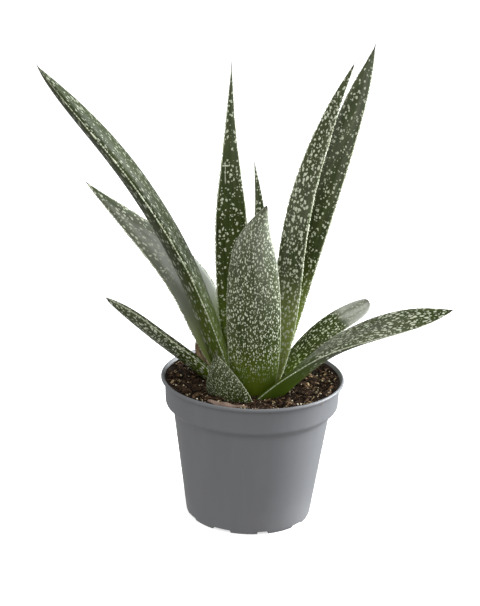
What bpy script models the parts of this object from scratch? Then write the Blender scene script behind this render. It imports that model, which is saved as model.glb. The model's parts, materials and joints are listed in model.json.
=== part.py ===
"""A spotted ox tongue plant growing in a thin round grower's pot, in metres, +Z up.

The origin is the centre of the pot's foot, on the surface that it stands on. The plant is a short stem with a
rosette of thick, keeled leaves. Each leaf is its own solid, and an outer leaf takes the shape of the inner
leaves that it is pressed against.
"""

import math
from collections import namedtuple

import bmesh
import bpy
import numpy as np
from mathutils import Vector

MM = 0.001
GAP = 0.3  # clearance in mm between pieces that touch
LEAF_ROOM = 0.6  # clearance in mm round a leaf, whose curved sides need more
CAP_ROOM = 3  # the clearance at a leaf's ends, in LEAF_ROOMs

# The pot, in mm: a 10.5 cm grower's pot with a deep rim band.
POT_HEIGHT = 84.0
LIP_RADIUS = 52.5
LIP_WIDTH = 2.2
LIP_DEPTH = 2.2
BAND_TOP_RADIUS = 50.2
BAND_FOOT_RADIUS = 49.4
BAND_FOOT = 68.0
SHOULDER_FOOT = 59.0
BODY_TOP_RADIUS = 44.0
FOOT_RADIUS = 35.8
FOOT_EDGE = 2.4
WALL = 1.2
FLOOR = 3.4
POT_SIDES = 56
# Channels under the foot, each with a drainage hole at its inner end.
CHANNEL_COUNT = 9
CHANNEL_HEIGHT = 2.0
CHANNEL_START = 27.0
CHANNEL_SPANS = (19.0, 11.0, 17.0)  # degrees of the foot's rim, repeated round it
FIRST_CHANNEL = -115.5  # degrees from +X
DRAIN_RADIUS = 3.0
DRAIN_CIRCLE = 29.0

# The soil, in mm.
SOIL_TOP = 78.0
SOIL_MOUND = 1.5  # how much higher its middle stands
SOIL_MOUND_RADIUS = 28.0
SOIL_DIP = 0.8  # the height of the ring round the mound over its top
SOIL_DIP_START = 38.0
SOIL_DIP_END = 44.0
SOIL_EDGE = 79.4  # the height that it clings to at the pot's wall
SOIL_CHAMFER = 0.8
SOIL_SIDES = 36

# The stem, in mm: a stub that the soil hides, with the leaves round it.
STEM_FOOT = 52.0
STEM_TOP = 78.0
STEM_RADIUS = 5.5
STEM_SIDES = 14

# The leaves.
RINGS = 10
SECTION_POINTS = 8
MARGIN_FULLNESS = 0.75  # how round a leaf's edges are: 1 is an ellipse
TIP_POINT = 0.45  # half width of a tip's end in mm

# stations are (x, y, z, half width) in mm from the base to the tip, and inner_base and inner_tip are the way
# the leaf's inner face looks there. thick is the leaf's thickness, channel how far the middle of the inner face
# lies below its margins, and keel how far the ridge on its back stands out.
Leaf = namedtuple("Leaf", "name stations inner_base inner_tip thick channel keel")

# From the youngest, in the heart of the rosette, to the oldest, on its outside.
LEAVES = (
    Leaf(
        "leaf_heart",
        ((3, 3, 80, 5), (3, 3, 118, 6), (2, 3, 153, 5), (1, 3, 180, 3.2), (-1, 3, 196, 1.6), (-3, 3, 208, TIP_POINT)),
        (0.2, -1, 0.1), (0, -1, 0.1), 3.0, 1.0, 0.5,
    ),
    Leaf(
        "leaf_back_centre",
        (
            (-3, 11, 71, 9), (-9.5, 11, 105, 11), (-13, 12, 143, 11), (-15.5, 13, 177, 9.6), (-16.5, 14, 205, 5.4),
            (-17.5, 16, 232, 2.4), (-17.5, 18, 259, TIP_POINT),
        ),
        (0.1, -1, 0.1), (0.2, -1, 0.1), 5.0, 2.0, 1.5,
    ),
    Leaf(
        "leaf_right_near",
        (
            (12, 2, 71, 8), (16, 0, 112, 9), (18, 1, 139, 8.5), (20.5, 2, 171, 8), (26, 4, 200, 7), (35, 6, 229, 5),
            (43, 8, 251, 2.6), (50, 9, 265, TIP_POINT),
        ),
        (-0.4, -1, 0.2), (-0.3, -1, 0.1), 6.0, 2.2, 2.0,
    ),
    Leaf(
        "leaf_front",
        (
            (2, -14, 71, 11), (1, -20, 92, 15), (0, -24, 111, 16.5), (-1, -27, 136, 17), (-2, -28, 160, 15.2),
            (-2.2, -27, 172, 12.2), (-0.6, -25.8, 181, 7.6), (2.4, -24.5, 187.5, 3.6), (5, -23, 192.5, TIP_POINT),
        ),
        (0, 1, 0.1), (0, 1, -0.2), 5.5, 6.0, 1.0,
    ),
    Leaf(
        "leaf_left_long",
        (
            (-14, 3, 71, 9), (-20.5, 2, 97, 12), (-26, 2, 121, 13), (-38, 1, 151, 12.5), (-57, 0, 183.5, 11.5),
            (-79, -2, 214.5, 10), (-103.5, -4, 241, 6.5), (-123, -6, 262, TIP_POINT),
        ),
        (1, 0.2, 0.25), (0.8, -0.45, 0.75), 7.6, 0.3, 8.0,
    ),
    Leaf(
        "leaf_right_tall",
        (
            (15, 12, 71, 7), (17.5, 13, 108, 8.5), (25, 14, 144, 9.5), (34, 16, 179, 10), (44, 19, 214, 9.2),
            (52.5, 21, 243, 7.0), (58.7, 23, 261, 3.5), (61, 24, 270, TIP_POINT),
        ),
        (-0.4, -1, 0.2), (-0.5, -1, 0.2), 6.5, 2.2, 2.0,
    ),
    Leaf(
        "leaf_left_broad",
        (
            (-12, 15, 71, 9), (-20, 15, 93, 12.5), (-28, 16, 116, 14.5), (-42, 17, 140, 13.4), (-63, 19, 159.5, 8.9),
            (-83, 21, 176, 4), (-98, 22, 189, TIP_POINT),
        ),
        (0.6, -1, 0.3), (0.2, -1, 0.6), 6.5, 2.2, 2.0,
    ),
    Leaf(
        "leaf_right_blunt",
        ((15, 17, 71, 8), (27, 19, 92, 9), (41, 23, 105, 9), (55, 28, 113.5, 8.3), (67.5, 31, 119, 6)),
        (-0.6, -0.5, 1), (0.1, -0.6, 1), 5.5, 1.5, 1.5,
    ),
    Leaf(
        "leaf_right_arching",
        (
            (8, -22, 71, 15), (20, -18.5, 89, 15), (36, -15, 104.5, 14), (56, -13.5, 115.5, 12.8),
            (78, -13, 123.5, 10.4), (97, -12, 128, 6.6), (111, -11, 131, TIP_POINT),
        ),
        (-0.5, 0.45, 0.5), (0.0, -1.1, 1), 6.5, 1.5, 3.0,
    ),
    Leaf(
        "leaf_left_low",
        (
            (-19, 4, 72, 9), (-28, 4, 85, 10.5), (-37.5, 2, 95, 10.5), (-49.5, 0, 104, 10), (-63.5, -3, 116, 8.5),
            (-75, -5, 125, 5.5), (-84, -6, 130, TIP_POINT),
        ),
        (0.7, 0.35, 0.7), (0.5, 0.6, 0.9), 7.5, 1.0, 2.0,
    ),
    Leaf(
        "leaf_front_short",
        ((-10, -20, 71, 19), (-14, -23, 84, 16), (-18, -25, 96, 9), (-21.5, -25, 106, TIP_POINT)),
        (0.6, 1, 0.2), (0.6, 1, 0.3), 4.5, 7.0, 0.5,
    ),
    Leaf(
        "dry_leaf",
        ((-27, 17, 73, 3.5), (-29, 17, 86, 3.0), (-32.5, 17, 94, 2.2), (-31.5, 17.5, 102, TIP_POINT)),
        (0.3, -1, 0.2), (0.3, -1, 0.2), 1.2, 0.6, 0.1,
    ),
)


# Helpers ------------------------------------------------------------------------------------------------------


def clear_scene():
    for obj in list(bpy.data.objects):
        bpy.data.objects.remove(obj, do_unlink=True)
    for group in list(bpy.data.collections):
        bpy.data.collections.remove(group)


def new_collection(name):
    group = bpy.data.collections.new(name)
    bpy.context.scene.collection.children.link(group)
    return group


def material(name, colour, roughness, metallic=0.0):
    made = bpy.data.materials.new(name)
    made.use_nodes = True
    shader = made.node_tree.nodes["Principled BSDF"]
    shader.inputs["Base Color"].default_value = (*colour, 1)
    shader.inputs["Roughness"].default_value = roughness
    shader.inputs["Metallic"].default_value = metallic
    made.diffuse_color = (*colour, 1)
    return made


def object_from(name, mesh, group, finish=None):
    obj = bpy.data.objects.new(name, mesh)
    group.objects.link(obj)
    if finish:
        mesh.materials.append(finish)
    mesh.shade_smooth()
    return obj


def hide_cutter(obj):
    obj.hide_render = True
    obj.display_type = "WIRE"


def turned(name, profile, sides, group, finish=None):
    """A solid turned round Z from (radius, height) points in mm, which run down its outer side."""
    mesh = bpy.data.meshes.new(name)
    points = [(radius * MM, 0, height * MM) for radius, height in profile]
    mesh.from_pydata(points, [(i, i + 1) for i in range(len(points) - 1)], [])
    obj = object_from(name, mesh, group, finish)
    screw = obj.modifiers.new("turn", "SCREW")
    screw.steps = sides
    screw.render_steps = sides
    screw.use_merge_vertices = True
    screw.merge_threshold = 0.0001
    return obj


def cut(obj, cutter, name):
    boolean = obj.modifiers.new(name, "BOOLEAN")
    boolean.operation = "DIFFERENCE"
    boolean.object = cutter


# The pot ------------------------------------------------------------------------------------------------------


def body_radius(height):
    """The outer radius of the pot's tapered wall, below its shoulder."""
    share = height / SHOULDER_FOOT
    return FOOT_RADIUS + (BODY_TOP_RADIUS - FOOT_RADIUS) * share


def inner_radius(height):
    """The radius inside the pot's wall."""
    if height <= SHOULDER_FOOT:
        return body_radius(height) - WALL
    if height >= BAND_FOOT:
        share = (height - BAND_FOOT) / (POT_HEIGHT - LIP_DEPTH - BAND_FOOT)
        return BAND_FOOT_RADIUS + (BAND_TOP_RADIUS - BAND_FOOT_RADIUS) * share - WALL
    share = (height - SHOULDER_FOOT) / (BAND_FOOT - SHOULDER_FOOT)
    foot, top = inner_radius(SHOULDER_FOOT), inner_radius(BAND_FOOT)
    return foot + (top - foot) * share


def pot_profile():
    lip_foot = POT_HEIGHT - LIP_DEPTH
    slope = (BAND_FOOT - SHOULDER_FOOT) / 9
    inside = [
        (0, FLOOR),
        (inner_radius(FLOOR) - 1.2, FLOOR),
        (inner_radius(FLOOR + 1), FLOOR + 1),
        (inner_radius(SHOULDER_FOOT), SHOULDER_FOOT),
        (inner_radius(BAND_FOOT), BAND_FOOT),
        (inner_radius(lip_foot), lip_foot),
    ]
    lip = [
        (LIP_RADIUS - LIP_WIDTH, POT_HEIGHT - 0.5),
        (LIP_RADIUS - LIP_WIDTH + 0.5, POT_HEIGHT),
        (LIP_RADIUS - 0.5, POT_HEIGHT),
        (LIP_RADIUS, POT_HEIGHT - 0.5),
        (LIP_RADIUS, lip_foot + 0.5),
        (LIP_RADIUS - 0.6, lip_foot),
        (BAND_TOP_RADIUS + 0.5, lip_foot - 0.4),
        (BAND_TOP_RADIUS, lip_foot - 1.4),
    ]
    shoulder = [
        (BAND_FOOT_RADIUS, BAND_FOOT),
        (BODY_TOP_RADIUS + 3.6, BAND_FOOT - 4 * slope),
        (BODY_TOP_RADIUS + 1.4, BAND_FOOT - 7 * slope),
        (BODY_TOP_RADIUS + 0.4, BAND_FOOT - 8.2 * slope),
        (BODY_TOP_RADIUS - 0.1, SHOULDER_FOOT - 0.7),
    ]
    foot = [
        (body_radius(FOOT_EDGE), FOOT_EDGE),
        (body_radius(0.8) - 0.3, 0.8),
        (FOOT_RADIUS - 1.2, 0),
        (0, 0),
    ]
    return inside + lip + shoulder + foot


def wedge(name, middle, span, group):
    """A cutter for one channel: a block from CHANNEL_START out past the foot, as wide as span at the rim."""
    bm = bmesh.new()
    bmesh.ops.create_cube(bm, size=1)
    width = 2 * FOOT_RADIUS * math.sin(math.radians(span / 2))
    length = FOOT_RADIUS + 6 - CHANNEL_START
    bmesh.ops.scale(bm, vec=(length * MM, width * MM, 2 * CHANNEL_HEIGHT * MM), verts=bm.verts)
    mesh = bpy.data.meshes.new(name)
    bm.to_mesh(mesh)
    bm.free()
    obj = object_from(name, mesh, group)
    turn = math.radians(middle)
    reach = (CHANNEL_START + length / 2) * MM
    obj.location = (reach * math.cos(turn), reach * math.sin(turn), 0)
    obj.rotation_euler = (0, 0, turn)
    hide_cutter(obj)
    return obj


def drain(name, middle, group):
    bm = bmesh.new()
    bmesh.ops.create_cone(
        bm, cap_ends=True, segments=16, radius1=DRAIN_RADIUS * MM, radius2=DRAIN_RADIUS * MM, depth=4 * FLOOR * MM
    )
    mesh = bpy.data.meshes.new(name)
    bm.to_mesh(mesh)
    bm.free()
    obj = object_from(name, mesh, group)
    turn = math.radians(middle)
    obj.location = (DRAIN_CIRCLE * MM * math.cos(turn), DRAIN_CIRCLE * MM * math.sin(turn), 0)
    hide_cutter(obj)
    return obj


def make_pot(group, cutters):
    plastic = material("pot_plastic", (0.13, 0.13, 0.135), 0.42)
    pot = turned("pot", pot_profile(), POT_SIDES, group, plastic)
    for index in range(CHANNEL_COUNT):
        middle = FIRST_CHANNEL + 360 / CHANNEL_COUNT * index
        span = CHANNEL_SPANS[index % len(CHANNEL_SPANS)]
        cut(pot, wedge(f"channel_cutter_{index}", middle, span, cutters), f"channel {index}")
        cut(pot, drain(f"drain_cutter_{index}", middle, cutters), f"drain {index}")
    return pot


# The leaves ---------------------------------------------------------------------------------------------------


def smooth_at(points, place):
    """The point at place, counted in points, on a smooth curve through all of them."""
    index = min(int(place), len(points) - 2)
    t = place - index
    before = points[index - 1] if index else 2 * points[0] - points[1]
    start, end = points[index], points[index + 1]
    after = points[index + 2] if index + 2 < len(points) else 2 * points[-1] - points[-2]
    leave, arrive = (end - before) / 2, (after - start) / 2
    return (
        start * (1 - 3 * t**2 + 2 * t**3)
        + end * (3 * t**2 - 2 * t**3)
        + leave * (t - 2 * t**2 + t**3)
        + arrive * (t**3 - t**2)
    )


def leaf_frame(leaf, share):
    """The spine point, half width, direction across and direction of the inner face, at a share of the length."""
    stations = np.array(leaf.stations, float)
    place = share * (len(stations) - 1)
    here = smooth_at(stations, place)
    step = 0.02
    ahead = smooth_at(stations, min(place + step, len(stations) - 1))
    behind = smooth_at(stations, max(place - step, 0))
    along = Vector(ahead[:3] - behind[:3]).normalized()
    faces = Vector(leaf.inner_base).normalized().lerp(Vector(leaf.inner_tip).normalized(), share)
    across = along.cross(faces).normalized()
    return Vector(here[:3]), max(here[3], TIP_POINT), across, across.cross(along)


def leaf_mesh(leaf, name, grow):
    """A closed cage round the leaf's spine: a subdivided cylinder whose rings take the leaf's sections."""
    bm = bmesh.new()
    bmesh.ops.create_cone(bm, cap_ends=True, segments=SECTION_POINTS, radius1=1, radius2=1, depth=1)
    sides = [edge for edge in bm.edges if abs(edge.verts[0].co.z - edge.verts[1].co.z) > 0.5]
    bmesh.ops.subdivide_edges(bm, edges=sides, cuts=RINGS - 2, use_grid_fill=True)
    widest = max(station[3] for station in leaf.stations)
    for vert in bm.verts:
        share = vert.co.z + 0.5
        centre, half_width, across, inner = leaf_frame(leaf, share)
        size = math.sqrt(half_width / widest)
        side = vert.co.x
        rise = math.copysign(abs(vert.co.y) ** MARGIN_FULLNESS, vert.co.y)
        height = -leaf.channel * size**2 * (1 - side**2)
        height += rise * (max(leaf.thick * size / 2, TIP_POINT) + grow)
        if vert.co.y < 0:
            height -= leaf.keel * size * (1 - abs(side)) ** 2
        vert.co = (centre + across * side * (half_width + grow) + inner * height) * MM
    if grow:
        base = Vector(leaf.stations[0][:3]) - Vector(leaf.stations[1][:3])
        tip = Vector(leaf.stations[-1][:3]) - Vector(leaf.stations[-2][:3])
        for face in [face for face in bm.faces if len(face.verts) == SECTION_POINTS]:
            at_base = (face.calc_center_median() / MM - Vector(leaf.stations[0][:3])).length < widest
            push = (base if at_base else tip).normalized() * CAP_ROOM * grow * MM
            for vert in face.verts:
                vert.co += push
    bm.normal_update()
    bmesh.ops.recalc_face_normals(bm, faces=bm.faces)
    mesh = bpy.data.meshes.new(name)
    bm.to_mesh(mesh)
    bm.free()
    return mesh


def round_off(obj):
    subdivide = obj.modifiers.new("round", "SUBSURF")
    subdivide.levels = 1
    subdivide.render_levels = 1


def make_leaves(group, cutters):
    """Every leaf, with a cutter for each that stands for the leaf and its clearance."""
    green = material("leaf_green", (0.12, 0.16, 0.06), 0.45)
    straw = material("dry_leaf_straw", (0.35, 0.22, 0.13), 0.8)
    made = []
    for leaf in LEAVES:
        finish = straw if leaf.name == "dry_leaf" else green
        obj = object_from(leaf.name, leaf_mesh(leaf, leaf.name, 0), group, finish)
        round_off(obj)
        for inner in made:
            cut(obj, inner, f"against {inner.name}")
        cutter = object_from(f"{leaf.name}_cutter", leaf_mesh(leaf, f"{leaf.name}_cutter", LEAF_ROOM), cutters)
        round_off(cutter)
        hide_cutter(cutter)
        made.append(cutter)


# The stem and the soil ----------------------------------------------------------------------------------------


def make_stem(group, cutters):
    bark = material("stem_bark", (0.2, 0.15, 0.09), 0.85)
    profile = [
        (0, STEM_TOP),
        (STEM_RADIUS - 2.5, STEM_TOP),
        (STEM_RADIUS - 1.5, STEM_TOP - 1),
        (STEM_RADIUS - 1.5, STEM_TOP - 8),
        (STEM_RADIUS, STEM_TOP - 12),
        (STEM_RADIUS, STEM_FOOT + 4),
        (STEM_RADIUS - 2, STEM_FOOT),
        (0, STEM_FOOT),
    ]
    turned("stem", profile, STEM_SIDES, group, bark)
    room = [(radius + GAP if radius else 0, height) for radius, height in profile]
    room[0] = (0, STEM_TOP + 6)
    room[1] = (room[1][0], STEM_TOP + 6)
    room[-1] = (0, STEM_FOOT - GAP)
    room[-2] = (room[-2][0], STEM_FOOT - GAP)
    cutter = turned("stem_cutter", room, STEM_SIDES, cutters)
    hide_cutter(cutter)


def make_soil(group, plant_cutters):
    peat = material("potting_soil", (0.06, 0.045, 0.03), 0.95)
    floor = FLOOR + GAP
    profile = [
        (0, SOIL_TOP + SOIL_MOUND),
        (SOIL_MOUND_RADIUS, SOIL_TOP + SOIL_MOUND),
        (SOIL_DIP_START, SOIL_TOP + SOIL_DIP),
        (SOIL_DIP_END, SOIL_TOP + SOIL_DIP),
        (inner_radius(SOIL_EDGE) - GAP - SOIL_CHAMFER, SOIL_EDGE),
        (inner_radius(SOIL_EDGE - SOIL_CHAMFER) - GAP, SOIL_EDGE - SOIL_CHAMFER),
        (inner_radius(BAND_FOOT) - GAP, BAND_FOOT),
        (inner_radius(SHOULDER_FOOT) - GAP, SHOULDER_FOOT),
        (inner_radius(floor + 1.5) - GAP - 0.2, floor + 1.5),
        (inner_radius(floor) - GAP - 2.0, floor),
        (0, floor),
    ]
    soil = turned("soil", profile, SOIL_SIDES, group, peat)
    room = soil.modifiers.new("room for the plant", "BOOLEAN")
    room.operation = "DIFFERENCE"
    room.operand_type = "COLLECTION"
    room.collection = plant_cutters
    return soil


def main():
    clear_scene()
    group = new_collection("potted_ox_tongue_plant")
    pot_cutters = new_collection("pot_cutters")
    plant_cutters = new_collection("plant_cutters")
    make_pot(group, pot_cutters)
    make_leaves(group, plant_cutters)
    make_stem(group, plant_cutters)
    make_soil(group, plant_cutters)


main()
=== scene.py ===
"""The looks of a potted ox tongue plant: spotted leaves with beaded edges, peat soil and a moulded pot.

Every leaf is laid out straight from a cylinder, and its rings are then stood one by one at the places that
its solid gives. Lengths are in metres.
"""

import json
import math
from collections import namedtuple

import bmesh
import bpy
import numpy as np
from mathutils import Matrix, Vector
from mathutils.bvhtree import BVHTree

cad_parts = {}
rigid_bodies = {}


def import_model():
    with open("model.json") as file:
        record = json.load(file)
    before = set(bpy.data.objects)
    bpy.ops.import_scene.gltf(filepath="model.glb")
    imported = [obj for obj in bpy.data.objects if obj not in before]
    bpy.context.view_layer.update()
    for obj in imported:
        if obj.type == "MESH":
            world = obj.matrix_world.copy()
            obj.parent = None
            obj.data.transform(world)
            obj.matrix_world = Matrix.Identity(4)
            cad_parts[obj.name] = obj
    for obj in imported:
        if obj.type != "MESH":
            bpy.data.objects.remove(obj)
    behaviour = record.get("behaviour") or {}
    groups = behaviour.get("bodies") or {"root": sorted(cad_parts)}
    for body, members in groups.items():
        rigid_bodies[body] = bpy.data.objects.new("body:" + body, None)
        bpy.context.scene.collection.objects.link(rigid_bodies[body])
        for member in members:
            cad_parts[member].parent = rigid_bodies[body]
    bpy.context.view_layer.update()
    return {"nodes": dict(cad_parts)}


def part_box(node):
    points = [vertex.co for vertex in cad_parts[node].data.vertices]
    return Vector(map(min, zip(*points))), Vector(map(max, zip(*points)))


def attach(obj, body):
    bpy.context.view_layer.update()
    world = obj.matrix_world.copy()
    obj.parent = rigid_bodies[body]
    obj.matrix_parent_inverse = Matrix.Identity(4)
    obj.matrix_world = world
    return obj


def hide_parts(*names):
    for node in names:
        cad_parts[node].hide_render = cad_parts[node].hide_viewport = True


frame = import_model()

MM = 0.001
RANDOM = np.random.default_rng(11)


# Work in Blender ------------------------------------------------------------------------------------------


def take(obj):
    """Selects this object alone."""
    bpy.ops.object.select_all(action="DESELECT")
    obj.select_set(True)
    bpy.context.view_layer.objects.active = obj


def start_editing(obj):
    take(obj)
    bpy.ops.object.mode_set(mode="EDIT")


def stop_editing():
    bpy.ops.object.mode_set(mode="OBJECT")


def pick(obj, kind, test):
    """Selects only the vertices, edges or faces in edit mode that pass the test."""
    bpy.ops.mesh.select_mode(type={"verts": "VERT", "edges": "EDGE", "faces": "FACE"}[kind])
    bpy.ops.mesh.select_all(action="DESELECT")
    bm = bmesh.from_edit_mesh(obj.data)
    for item in getattr(bm, kind):
        if test(item):
            item.select_set(True)
    bm.select_flush_mode()
    bmesh.update_edit_mesh(obj.data)


def centre_of(item):
    """The middle of an edge or a face."""
    return sum((vert.co for vert in item.verts), Vector()) / len(item.verts)


def apply(obj, kind, **settings):
    """Adds a modifier, sets it and applies it."""
    bpy.context.view_layer.objects.active = obj
    modifier = obj.modifiers.new(kind.lower(), kind)
    for name, value in settings.items():
        setattr(modifier, name, value)
    bpy.ops.object.modifier_apply(modifier=modifier.name)


def named(obj, name):
    """Gives the object and its mesh their name."""
    obj.name = name
    obj.data.name = name
    return obj


def settle(obj):
    """Puts the object's place into its mesh."""
    obj.data.transform(obj.matrix_basis)
    obj.matrix_basis = Matrix.Identity(4)


def finish_piece(obj, material, slot, *nodes):
    """Gives a piece its material and its body, and hides the nodes that it stands for. The slot is not used.
    """
    obj.data.materials.clear()
    obj.data.materials.append(material)
    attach(obj, "root")
    if nodes:
        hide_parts(*nodes)


def write_tint(mesh, tints):
    """Keeps a tone from 0 to 1 for each corner of a mesh."""
    mesh.attributes.new("tint", "FLOAT", "POINT")
    mesh.attributes["tint"].data.foreach_set("value", tints.astype(np.float32))


def spread(name, original, places, tints):
    """One object that holds a copy of the original at each place, each with its own tint."""
    corners = np.array([vert.co for vert in original.data.vertices])
    faces = [list(face.vertices) for face in original.data.polygons]
    points, joined = [], []
    for index, place in enumerate(places):
        turn = np.array(place.to_3x3())
        points.append(corners @ turn.T + np.array(place.translation))
        joined += [[corner + index * len(corners) for corner in face] for face in faces]
    mesh = bpy.data.meshes.new(name)
    mesh.from_pydata(np.concatenate(points).tolist(), [], joined)
    write_tint(mesh, np.repeat(tints, len(corners)))
    mesh.shade_smooth()
    obj = bpy.data.objects.new(name, mesh)
    bpy.context.scene.collection.objects.link(obj)
    bpy.data.objects.remove(original)
    return obj


# Materials ------------------------------------------------------------------------------------------------


class Value:
    """A shader socket that takes part in sums. Each sum adds a Math node."""

    def __init__(self, finish, socket):
        self.finish = finish
        self.socket = socket

    def __add__(self, other):
        return self.finish.maths("ADD", self, other)

    def __sub__(self, other):
        return self.finish.maths("SUBTRACT", self, other)

    def __rsub__(self, other):
        return self.finish.maths("SUBTRACT", other, self)

    def __mul__(self, other):
        return self.finish.maths("MULTIPLY", self, other)

    def __abs__(self):
        return self.finish.maths("ABSOLUTE", self)

    __radd__ = __add__
    __rmul__ = __mul__

    def ramp(self, low, high):
        """0 at low and under, 1 at high and over, and smooth between them. High may be the smaller."""
        settings = {"interpolation_type": "SMOOTHSTEP"}
        return self.finish.node("ShaderNodeMapRange", settings, self, low, high, 0.0, 1.0)


class Finish:
    """A procedural material round one Principled shader."""

    def __init__(self, name, **fixed):
        self.material = bpy.data.materials.new(name)
        self.material.use_nodes = True
        self.tree = self.material.node_tree
        self.shader = self.tree.nodes["Principled BSDF"]
        for socket, value in fixed.items():
            self.shader.inputs[socket.replace("_", " ")].default_value = value

    def node(self, kind, settings=None, *inputs, output=0, **named_inputs):
        """Any node: its settings first, then its sockets in order or by name, as values or links."""
        made = self.tree.nodes.new(kind)
        for setting, value in (settings or {}).items():
            if setting == "stops":
                self.set_stops(made.color_ramp, value)
            else:
                setattr(made, setting, value)
        sockets = [socket for socket in made.inputs if socket.enabled]
        pairs = list(zip(sockets, inputs))
        pairs += [(made.inputs[name.replace("_", " ")], value) for name, value in named_inputs.items()]
        for socket, value in pairs:
            if isinstance(value, Value):
                self.tree.links.new(value.socket, socket)
            elif value is not None:
                socket.default_value = value
        return Value(self, made.outputs[output])

    @staticmethod
    def set_stops(ramp, stops):
        """Gives a colour ramp its stops, each a position and a colour."""
        while len(ramp.elements) < len(stops):
            ramp.elements.new(1.0)
        for element, (position, colour) in zip(ramp.elements, stops):
            element.position = position
            element.color = (*colour, 1.0)

    def maths(self, operation, *parts):
        """A sum of numbers or values."""
        return self.node("ShaderNodeMath", {"operation": operation}, *parts)

    def attribute(self, name, output="Vector"):
        """What a mesh keeps for each of its corners under this name."""
        return self.node("ShaderNodeAttribute", {"attribute_name": name}, output=output)

    def place(self):
        """Where a point lies on the object, in metres."""
        return self.node("ShaderNodeTexCoord", output="Object")

    def split(self, vector):
        """The three parts of a vector."""
        apart = self.tree.nodes.new("ShaderNodeSeparateXYZ")
        self.tree.links.new(vector.socket, apart.inputs[0])
        return [Value(self, socket) for socket in apart.outputs]

    def vector(self, x, y, z):
        return self.node("ShaderNodeCombineXYZ", None, x, y, z)

    def noise(self, vector, scale, detail=3.0, roughness=0.55, output="Fac"):
        """Soft clouds from 0 to 1."""
        return self.node(
            "ShaderNodeTexNoise", None, output=output,
            Vector=vector, Scale=scale, Detail=detail, Roughness=roughness,
        )

    def mix(self, share, first, second):
        """A colour between two colours."""
        made = self.tree.nodes.new("ShaderNodeMix")
        made.data_type = "RGBA"
        for index, value in ((0, share), (6, first), (7, second)):
            if isinstance(value, Value):
                self.tree.links.new(value.socket, made.inputs[index])
            else:
                made.inputs[index].default_value = value if index == 0 else (*value, 1.0)
        return Value(self, made.outputs[2])

    def feed(self, **sockets):
        """Links values to the shader's sockets."""
        for name, value in sockets.items():
            self.tree.links.new(value.socket, self.shader.inputs[name.replace("_", " ")])

    def bump(self, height, strength, distance):
        """The last step of a material: small relief from a height."""
        relief = self.node("ShaderNodeBump", None, Strength=strength, Distance=distance, Height=height)
        self.feed(Normal=relief)
        return self.material


def pot_plastic():
    """Grey moulded plastic with a fine grain, faint flow marks and a little dust towards its foot."""
    finish = Finish("pot_plastic", Roughness=0.42, Specular_IOR_Level=0.5)
    place = finish.place()
    x, y, z = finish.split(place)
    grain = finish.noise(place, 1400, 2)
    cloud = finish.noise(place, 38, 4)
    streaks = finish.noise(finish.vector(x * 90, y * 90, z * 6), 1.0, 3)
    dust = z.ramp(0.030, 0.0) * cloud.ramp(0.35, 0.75)
    tone = finish.mix(streaks.ramp(0.3, 0.75), (0.148, 0.151, 0.158), (0.160, 0.163, 0.172))
    tone = finish.mix(cloud.ramp(0.55, 0.8) * 0.35, tone, (0.175, 0.178, 0.186))
    tone = finish.mix(dust * 0.25, tone, (0.24, 0.235, 0.225))
    finish.feed(Base_Color=tone, Roughness=0.40 + cloud * 0.12 + dust * 0.2)
    return finish.bump(grain * 0.6 + streaks * 0.4, 0.25, 0.00008)


def peat():
    """Dark moist peat, brown and black by turns."""
    finish = Finish("potting_soil", Roughness=0.95, Specular_IOR_Level=0.1)
    place = finish.place()
    clumps = finish.noise(place, 160, 6, 0.65)
    crumbs = finish.noise(place, 900, 4, 0.7)
    stops = [(0.34, (0.005, 0.003, 0.002)), (0.54, (0.022, 0.013, 0.008)), (0.72, (0.085, 0.050, 0.028))]
    tone = finish.node("ShaderNodeValToRGB", {"stops": stops}, clumps * 0.6 + crumbs * 0.4)
    finish.feed(Base_Color=tone, Roughness=0.8 + crumbs * 0.2)
    return finish.bump(clumps * 0.5 + crumbs * 0.5, 0.9, 0.0012)


def bits(name, stops, roughness, strength):
    """Loose bits in the soil, each with a tone of its own between the stops."""
    finish = Finish(name, Roughness=roughness, Specular_IOR_Level=0.15)
    place = finish.place()
    fibre = finish.noise(place, 1500, 3, 0.6)
    tint = finish.attribute("tint", "Fac")
    tone = finish.node("ShaderNodeValToRGB", {"stops": stops}, tint * 0.8 + fibre * 0.25)
    finish.feed(Base_Color=tone, Roughness=roughness - 0.15 + fibre * 0.2)
    return finish.bump(fibre, strength, 0.0003)


def straw():
    """A dead leaf, brown and papery with darker veins."""
    finish = Finish("dry_leaf", Roughness=0.75)
    across, _gap, along = finish.split(finish.attribute("inside"))
    veins = finish.noise(finish.vector(across * 2600, 0.0, along * 160), 1.0, 3)
    blotch = finish.noise(finish.place(), 240, 4)
    tone = finish.mix(veins.ramp(0.35, 0.65), (0.15, 0.080, 0.042), (0.46, 0.33, 0.20))
    tone = finish.mix(blotch.ramp(0.5, 0.75) * 0.7, tone, (0.11, 0.055, 0.035))
    finish.feed(Base_Color=tone, Roughness=0.65 + blotch * 0.25)
    return finish.bump(veins, 0.6, 0.0004)


def stem_bark():
    """Dull bark with scars."""
    finish = Finish("stem_bark", Roughness=0.85)
    place = finish.place()
    scars = finish.noise(place, 300, 5)
    tone = finish.mix(scars.ramp(0.35, 0.65), (0.06, 0.04, 0.025), (0.24, 0.17, 0.10))
    finish.feed(Base_Color=tone, Roughness=0.75 + scars * 0.2)
    return finish.bump(scars, 0.6, 0.0006)


# How the spots of one face lie: how far apart in mm, their radius as a share of that, how much longer than
# wide they are, and about how many of the places hold one.
Spots = namedtuple("Spots", "spacing radius stretch fill")
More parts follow.
